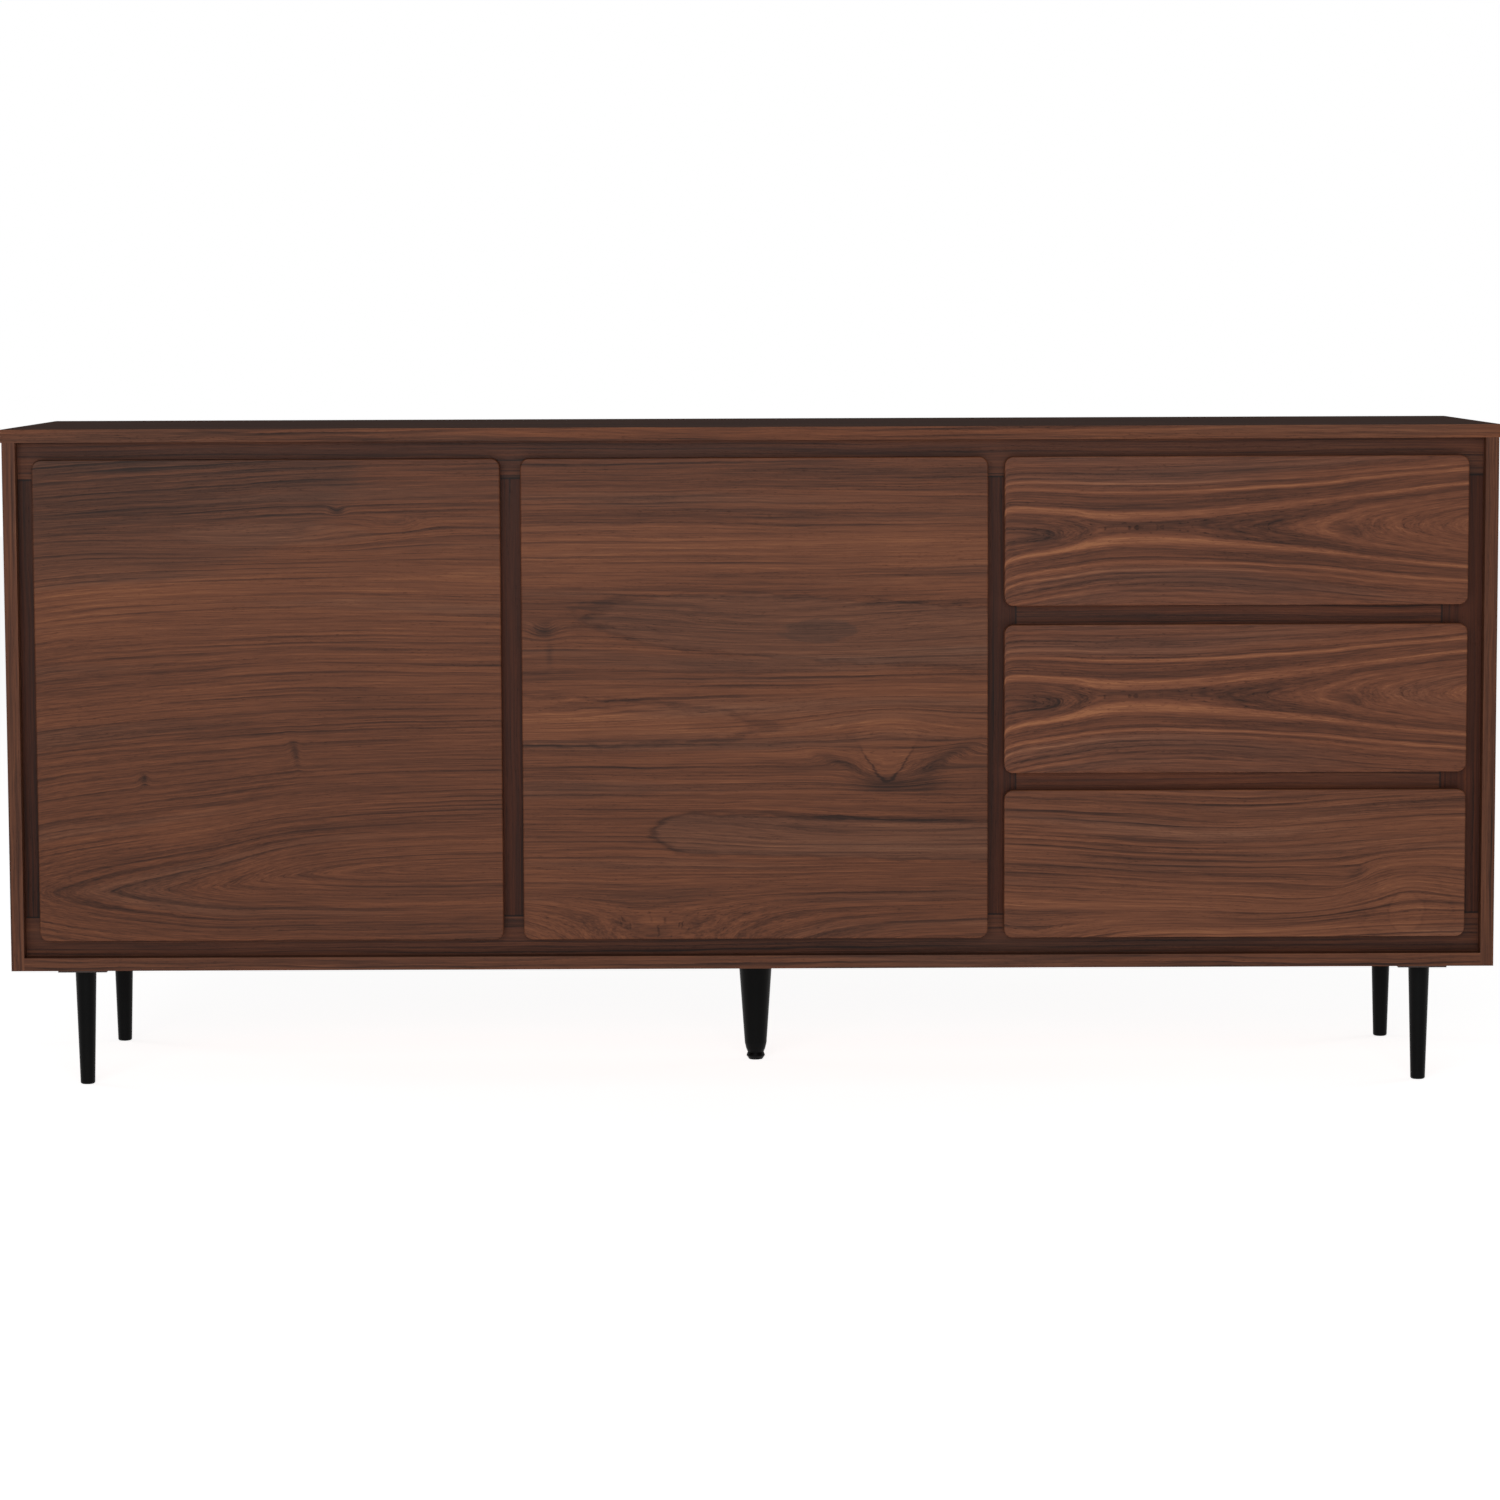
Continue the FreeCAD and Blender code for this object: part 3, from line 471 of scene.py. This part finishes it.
def plated_steel(name, rgb, roughness):
    """Zinc plated steel with faint drawing marks and clouded passivation."""
    g = Tree(name)
    marks = g.node("ShaderNodeMapping", {"Vector": g.place, "Scale": DRAWING_MARKS}).outputs[0]
    drawn = g.node("ShaderNodeTexNoise", {"Vector": marks, "Scale": 1.0, "Detail": 3.0}).outputs["Fac"]
    haze = g.cloud(45.0, 4.0)
    tone = g.add(g.times(drawn, 0.5), g.times(haze, 0.5))
    rough = g.add(roughness, g.swing(drawn, 0.16), g.swing(haze, 0.1))
    g.set(Base_Color=g.ramp(tone, darker_to(rgb, 0.82)), Roughness=rough, Metallic=1.0)
    g.bump(drawn, 0.15, 0.1 * MM)
    return g.material


def moulded(name, rgb, roughness):
    """Moulded plastic or soft bumper with a fine spark-eroded texture."""
    g = Tree(name)
    grain = g.cloud(1800.0, 2.0)
    colour = g.ramp(g.cloud(60.0, 2.0), darker_to(rgb, 0.85))
    g.set(Base_Color=colour, Roughness=g.add(roughness, g.swing(grain, 0.2)))
    g.bump(grain, 0.2, 0.1 * MM)
    return g.material


def darker_to(rgb, share):
    """Ramp stops from a darker share of a colour to the colour itself."""
    return [(0.3, linear(*(share * c for c in rgb))), (0.7, linear(*rgb))]


# ---------------------------------------------------------------- figures of the fronts

# The figure slopes by this share into a front's edges.
FRONT_EDGE_TURN = 0.7

LEFT_DOOR_FIGURE = Figure(
    axis=((0.0, 0.060), (0.35, 0.066), (0.6, 0.082), (1.0, 0.088)),
    crown=((0.0, 0.066), (0.1, 0.056), (0.35, 0.036), (0.6, 0.014), (0.8, 0.004), (1.0, 0.001)),
    point=1.35,
    fade=0.26,
    stain=(
        (0.0, 0.54), (0.10, 0.48), (0.18, 0.52), (0.30, 0.47), (0.42, 0.50), (0.50, 0.53), (0.60, 0.64),
        (0.69, 0.57), (0.76, 0.46), (0.86, 0.41), (0.93, 0.36), (1.0, 0.36),
    ),
    depth=0.62,
    spacing=0.0085,
    rings=1.3,
    zones=0.55,
    wander=0.75,
    hills=(
        Hill(0.31, 0.490, 0.16, 0.14, 0.020, lift=0.016),
        Hill(0.372, 0.528, 0.012, 0.012, 0.006, lift=0.006, dark=0.22),
        Hill(0.445, 0.512, 0.04, 0.03, 0.010, lift=0.008),
        Hill(0.132, 0.200, 0.008, 0.006, 0.012, lift=-0.005, dark=0.30),
        Hill(0.318, 0.232, 0.010, 0.006, 0.018, lift=-0.005, dark=0.24, slope=-1.2),
        Hill(0.05, 0.40, 0.25, 0.30, 0.10, lift=-0.014),
    ),
    islands=(
        Island(0.04, 0.57, 0.3, 0.36, 0.13, tone=-0.08, smoke=0.26, ragged=0.25),
        Island(0.30, 0.500, 0.13, 0.12, 0.014, tone=0.06, smoke=0.2),
    ),
)

MIDDLE_DOOR_FIGURE = Figure(
    spacing=0.0085,
    rings=1.2,
    wander=0.8,
    stain=(
        (0.0, 0.50), (0.08, 0.50), (0.18, 0.50), (0.32, 0.48), (0.44, 0.54), (0.56, 0.50), (0.72, 0.50),
        (0.80, 0.58), (0.855, 0.52), (0.872, 0.36), (0.89, 0.50), (0.93, 0.44), (0.965, 0.36), (1.0, 0.44),
    ),
    depth=0.60,
    hills=(
        Hill(0.028, 0.380, 0.020, 0.020, 0.012, lift=0.010, dark=0.30),
        Hill(0.034, 0.352, 0.004, 0.004, 0.014, dark=0.16, core=1.0),
        Hill(0.32, 0.383, 0.20, 0.22, 0.036, lift=0.014),
        Hill(0.02, 0.271, 1.0, 0.30, 0.028, lift=0.020),
        Hill(0.447, 0.268, 0.09, 0.07, 0.026, lift=-0.012),
        Hill(0.447, 0.206, 0.042, 0.050, 0.018, lift=0.016),
        Hill(0.447, 0.190, 0.040, 0.048, 0.010, dark=0.30, core=1.2),
        Hill(0.500, 0.202, 0.022, 0.022, 0.020, dark=0.16, core=1.0),
        Hill(0.520, 0.226, 0.030, 0.050, 0.010, lift=-0.008, dark=0.20, slope=0.4),
        Hill(0.396, 0.216, 0.060, 0.020, 0.010, lift=-0.006, dark=0.16, slope=-0.4),
        Hill(0.42, 0.132, 0.20, 0.6, 0.030, lift=0.016),
        Hill(0.155, -0.035, 0.15, 0.22, 0.062, lift=0.075),
    ),
    islands=(
        Island(0.30, 0.386, 0.22, 2.0, 0.038, slope=-0.06, smoke=0.34, line=0.18),
        Island(0.372, 0.380, 0.055, 0.040, 0.015, tone=-0.13, smoke=0.3, ragged=0.9),
        Island(0.215, 0.130, 0.055, 2.0, 0.024, slope=-0.03, smoke=0.42, line=0.26),
        Island(0.0, 0.271, 2.0, 0.29, 0.031, tone=0.06, line=0.22, slope=-0.03),
        Island(0.0, 0.266, 2.0, 0.235, 0.020, tone=0.06, line=0.10),
        Island(0.447, 0.238, 0.034, 0.034, 0.042, taper=0.40, tone=0.08, line=0.36, ragged=0.4, cup=True),
    ),
)

STRIPED_FIGURE = Figure(
    axis=((0.0, 0.080), (0.2, 0.0935), (0.6, 0.0955), (0.8, 0.096), (1.0, 0.097)),
    crown=((0.0, 0.040), (0.13, 0.047), (0.25, 0.0515), (0.6, 0.045), (0.8, 0.033), (1.0, 0.014)),
    point=1.7,
    stain=(
        (0.0, 0.50), (0.20, 0.52), (0.30, 0.48), (0.40, 0.46), (0.455, 0.36), (0.485, 0.42), (0.507, 0.80),
        (0.53, 0.60), (0.56, 0.38), (0.60, 0.47), (0.642, 0.38), (0.664, 0.74), (0.69, 0.56), (0.712, 0.42),
        (0.735, 0.62), (0.762, 0.48), (0.82, 0.46), (0.88, 0.54), (1.0, 0.48),
    ),
    depth=0.108,
    spacing=0.0060,
    rings=0.7,
    wander=0.5,
    zones=0.35,
    hills=(
        Hill(0.05, 0.084, 0.05, 0.03, 0.012, lift=-0.006, dark=0.20, core=1.5),
        Hill(0.24, 0.030, 0.16, 0.18, 0.020, lift=0.006),
        Hill(0.43, 0.092, 0.02, 0.03, 0.010, lift=0.003, dark=0.12, core=1.0),
        Hill(0.13, 0.072, 0.06, 0.10, 0.008, dark=-0.10, core=1.0),
        Hill(0.17, 0.100, 0.06, 0.12, 0.007, dark=0.12, core=1.0),
    ),
)

WAVY_FIGURE = Figure(
    spacing=0.0080,
    rings=1.2,
    wander=0.7,
    hills=(
        Hill(0.28, 0.09, 0.22, 0.20, 0.12, lift=0.020),
        Hill(0.40, 0.060, 0.10, 0.05, 0.030, lift=0.010, slope=0.3),
        Hill(0.436, 0.078, 0.030, 0.014, 0.012, lift=0.006, dark=0.16, slope=0.4),
        Hill(0.495, 0.066, 0.05, 0.06, 0.030, lift=-0.014),
        Hill(0.02, -0.01, 0.08, 0.13, 0.04, lift=0.030),
    ),
    islands=(
        Island(0.492, 0.030, 0.018, 0.026, 0.026, tone=0.07, line=0.06, ragged=0.8),
        Island(0.492, 0.034, 0.050, 0.060, 0.044, tone=0.03, line=0.05, ragged=0.8),
    ),
    stain=(
        (0.0, 0.52), (0.15, 0.50), (0.30, 0.50), (0.45, 0.48), (0.58, 0.56), (0.68, 0.60), (0.78, 0.50),
        (0.90, 0.42), (1.0, 0.40),
    ),
    depth=0.20,
)


def front_material(node, figure, **look):
    """Walnut for a front, with its grain along the row and turned into the front's edges."""
    low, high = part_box(node)
    along = (1.0, 0.0, 0.0, low.x)
    across = (0.0, FRONT_EDGE_TURN, 1.0, low.z + FRONT_EDGE_TURN * low.y)
    return walnut("walnut_" + node, along, across, replace(figure, length=high.x - low.x), **look)


# ---------------------------------------------------------------- dressing the CAD nodes

# Directions of the grain, and across it. The smaller share turns the figure into the boards' edges.
ALONG_X = (1.0, 0.0, 0.0, 0.0)
ALONG_Z = (0.0, 0.0, 1.0, 0.0)
ACROSS_SHELF = (0.0, 1.0, 0.8, 0.0)
ACROSS_RAIL = (0.0, 0.8, 1.0, 0.0)
ACROSS_SIDE = (0.8, 1.0, 0.0, 0.0)
ACROSS_STILE = (1.0, 0.8, 0.0, 0.0)

RAILS = ["top_rail", "bottom_rail"]
DRAWER_RAILS = ["upper_drawer_rail", "lower_drawer_rail"]
STILES = ["left_stile", "door_stile", "drawer_stile", "right_stile"]
PARTITIONS = ["door_bay_partition", "drawer_bay_partition"]
SHELVES = ["left_shelf", "middle_shelf"]
DRAWERS = ["upper_drawer", "middle_drawer", "lower_drawer"]


def dress(names, material):
    for name in names:
        piece = nodes[name]
        piece.data.materials.clear()
        piece.data.materials.append(material)


def dress_fronts():
    looks = (
        ("left_door", LEFT_DOOR_FIGURE, 1.0, (1.0, 0.98, 0.95), 0.60),
        ("middle_door", MIDDLE_DOOR_FIGURE, 62.0, (1.03, 1.02, 1.0), 0.58),
        ("upper_drawer_front", STRIPED_FIGURE, 90.0, (1.05, 1.04, 1.05), 0.82),
        ("middle_drawer_front", STRIPED_FIGURE, 90.15, (1.05, 1.04, 1.05), 0.82),
        ("lower_drawer_front", WAVY_FIGURE, 131.0, (1.06, 1.07, 1.08), 0.80),
    )
    for node, figure, seed, tint, contrast in looks:
        material = front_material(node, figure, seed=seed, tint=tint, contrast=contrast)
        dress([node], material)


def dress_case():
    looks = (
        ("top", ALONG_X, ACROSS_SHELF, 171.0, (1.06, 1.04, 1.0), dict(gloss=0.5, contrast=0.75, strips=True)),
        ("bottom", ALONG_X, ACROSS_SHELF, 187.0, (0.95, 0.95, 0.95), dict(strips=True)),
        ("left_side", ALONG_Z, ACROSS_SIDE, 203.0, (0.94, 0.94, 0.94), {}),
        ("right_side", ALONG_Z, ACROSS_SIDE, 219.0, (0.90, 0.90, 0.90), {}),
    )
    for part, along, across, seed, tint, other in looks:
        material = walnut("walnut_" + part, along, across, seed=seed, tint=tint, **other)
        dress([part + "_panel"], material)


def dress_frame():
    """The recessed face frame, its walnut tinted darker as painted shade of the recess, with painted shade in
    the grooves where rails and stiles meet.
    """
    rail_ends = [corner.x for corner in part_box("upper_drawer_rail")]
    stile_ends = [corner.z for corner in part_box("left_stile")]
    looks = (
        # the frame's tints are painted shade of the recess behind the fronts, darkest and reddest on the
        # stiles
        ("rails", RAILS, ALONG_X, ACROSS_RAIL, 233.0, (0.88, 0.82, 0.78), ()),
        ("drawer_rails", DRAWER_RAILS, ALONG_X, ACROSS_RAIL, 239.0, (0.93, 0.83, 0.75), rail_ends),
        ("stiles", STILES, ALONG_Z, ACROSS_STILE, 251.0, (0.71, 0.55, 0.40), stile_ends),
    )
    for title, names, along, across, seed, tint, joint_shades in looks:
        material = walnut("walnut_" + title, along, across, seed=seed, tint=tint, joint_shades=joint_shades)
        dress(names, material)


def dress_inside():
    dress(PARTITIONS, walnut("walnut_partitions", ALONG_Z, ACROSS_SIDE, seed=269.0))
    dress(SHELVES, walnut("walnut_shelves", ALONG_X, ACROSS_SHELF, seed=281.0))
    back = walnut("walnut_back", ALONG_X, ACROSS_RAIL, seed=307.0, tint=(0.9, 0.9, 0.9), gloss=0.6)
    dress(["back_panel"], back)

    sides = pale_wood("pale_sides", (0.0, 1.0, 0.0), (0.7, 0.0, 1.0))
    ends = pale_wood("pale_ends", (1.0, 0.0, 0.0), (0.0, 0.7, 1.0), seed=29.0)
    base = pale_wood("pale_base", (1.0, 0.0, 0.0), (0.0, 1.0, 0.7), light=1.04, seed=53.0)
    raw = pale_wood("raw_wood", (0.0, 1.0, 0.0), (0.7, 0.0, 1.0), light=0.92, seed=71.0)
    dress([name + "_sides" for name in DRAWERS], sides)
    dress([name + "_ends" for name in DRAWERS], ends)
    dress([name + "_bottom" for name in DRAWERS], base)
    dress(["case_dowels", "slide_packers"], raw)


def dress_legs():
    legs = [f"{end}_{side}_leg" for end in ("front", "rear") for side in ("left", "right")]
    dress(legs + ["centre_leg", "levelling_foot"], lacquer())
    dress(["leg_studs"], plated_steel("stud_steel", (170, 168, 160), 0.34))
    dress(["leg_plates"], moulded("plate_enamel", (60, 38, 28), 0.45))


def dress_hardware():
    slides = ["slide_outer_members"]
    hinges = ["shelf_pins"]
    for name in DRAWERS:
        slides += [name + "_slide_middles", name + "_slide_inners"]
    for name in ("left_door", "middle_door"):
        hinges += [name + "_hinge_cups", name + "_hinge_arms", name + "_strike"]
    screws = ["leg_plate_screws", "hinge_screws", "back_panel_screws"]
    dress(slides, plated_steel("slide_steel", (176, 178, 180), 0.32))
    dress(hinges, plated_steel("hinge_steel", (190, 190, 190), 0.26))
    dress(screws, plated_steel("screw_steel", (160, 158, 150), 0.34))
    dress(["bumpers"], moulded("bumper_felt", (188, 186, 178), 0.7))
    dress(["magnetic_catches"], moulded("catch_plastic", (52, 36, 30), 0.5))


def soften(names, width, segments=2):
    """Break the sharp edges of sawn boards and sheet, as a sander or a press does."""
    for name in names:
        bevel = nodes[name].modifiers.new("eased", "BEVEL")
        bevel.width = width
        bevel.segments = segments
        bevel.limit_method = "ANGLE"
        bevel.angle_limit = math.radians(40)
        bevel.harden_normals = True


def soften_all():
    boxes = [f"{name}_{part}" for name in DRAWERS for part in ("sides", "ends")]
    soften(["top_panel", "bottom_panel", "left_side_panel", "right_side_panel"], 1.2 * MM, 3)
    soften(RAILS + DRAWER_RAILS + STILES + PARTITIONS + SHELVES, 0.6 * MM)
    soften(boxes + ["leg_plates"], 0.8 * MM)


# ---------------------------------------------------------------- studio

MIDDLE = Vector((0.0, FRONT, 0.45))
WHITE = (1.0, 1.0, 1.0, 1.0)


def camera():
    """Straight on, from a little above the top, and a fifth of a degree off level."""
    lens = 108.56
    place = (-0.0019, FRONT - 5.5233, 0.9523)
    dip = 0.09597
    roll = -0.00381
    data = bpy.data.cameras.new("camera")
    data.sensor_width = 36.0
    data.lens = lens
    data.clip_end = 60.0
    item = bpy.data.objects.new("camera", data)
    scene.collection.objects.link(item)
    item.matrix_world = (
        Matrix.Translation(place)
        @ Matrix.Rotation(math.radians(90.0) - dip, 4, "X")
        @ Matrix.Rotation(roll, 4, "Z")
    )
    scene.camera = item


def soft_light(name, place, target, size, power):
    data = bpy.data.lights.new(name, "AREA")
    data.shape = "RECTANGLE"
    data.size, data.size_y = size
    data.energy = power
    item = bpy.data.objects.new(name, data)
    scene.collection.objects.link(item)
    item.location = place
    item.rotation_euler = (Vector(target) - Vector(place)).to_track_quat("-Z", "Y").to_euler()


def lights():
    """A wide key from in front, and a smaller fill from behind each end."""
    key_place = (-0.6, -5.6, 1.9)
    fill_away, fill_back, fill_height = 5.0, 2.2, 1.1
    soft_light("key", key_place, MIDDLE, (4.2, 2.2), 115.0)
    for side in (-1.0, 1.0):
        soft_light("fill", (fill_away * side, fill_back, fill_height), (0.0, 0.1, 0.45), (2.0, 1.6), 36.0)


def backdrop():
    """White behind the object, but a dim room for the light that falls on it."""
    room_light = 0.12
    world = bpy.data.worlds.new("studio")
    scene.world = world
    world.use_nodes = True
    tree = world.node_tree
    white = tree.nodes["Background"]
    white.inputs["Color"].default_value = WHITE
    white.inputs["Strength"].default_value = 1.0
    room = tree.nodes.new("ShaderNodeBackground")
    room.inputs["Color"].default_value = WHITE
    room.inputs["Strength"].default_value = room_light
    ray = tree.nodes.new("ShaderNodeLightPath")
    choose = tree.nodes.new("ShaderNodeMixShader")
    tree.links.new(ray.outputs["Is Camera Ray"], choose.inputs[0])
    tree.links.new(room.outputs[0], choose.inputs[1])
    tree.links.new(white.outputs[0], choose.inputs[2])
    tree.links.new(choose.outputs[0], tree.nodes["World Output"].inputs["Surface"])


def studio_floor():
    """A pale floor that glows a little, so that the object's shadow stays faint."""
    half = 14.0
    corners = [(-half, -half, 0), (half, -half, 0), (half, half, 0), (-half, half, 0)]
    mesh = bpy.data.meshes.new("floor")
    mesh.from_pydata(corners, [], [(0, 1, 2, 3)])
    floor = bpy.data.objects.new("floor", mesh)
    scene.collection.objects.link(floor)
    g = Tree("floor")
    colour = g.ramp(g.cloud(3.0, 3.0), [(0.3, (0.86, 0.86, 0.86)), (0.7, (0.89, 0.89, 0.89))])
    g.set(Base_Color=colour, Roughness=0.9, Specular_IOR_Level=0.05)
    g.set(Emission_Color=WHITE, Emission_Strength=0.82)
    mesh.materials.append(g.material)


camera()
dress_fronts()
dress_case()
dress_frame()
dress_inside()
dress_legs()
dress_hardware()
soften_all()
lights()
backdrop()
studio_floor()
scene.view_settings.view_transform = "Standard"
scene.view_settings.look = "None"
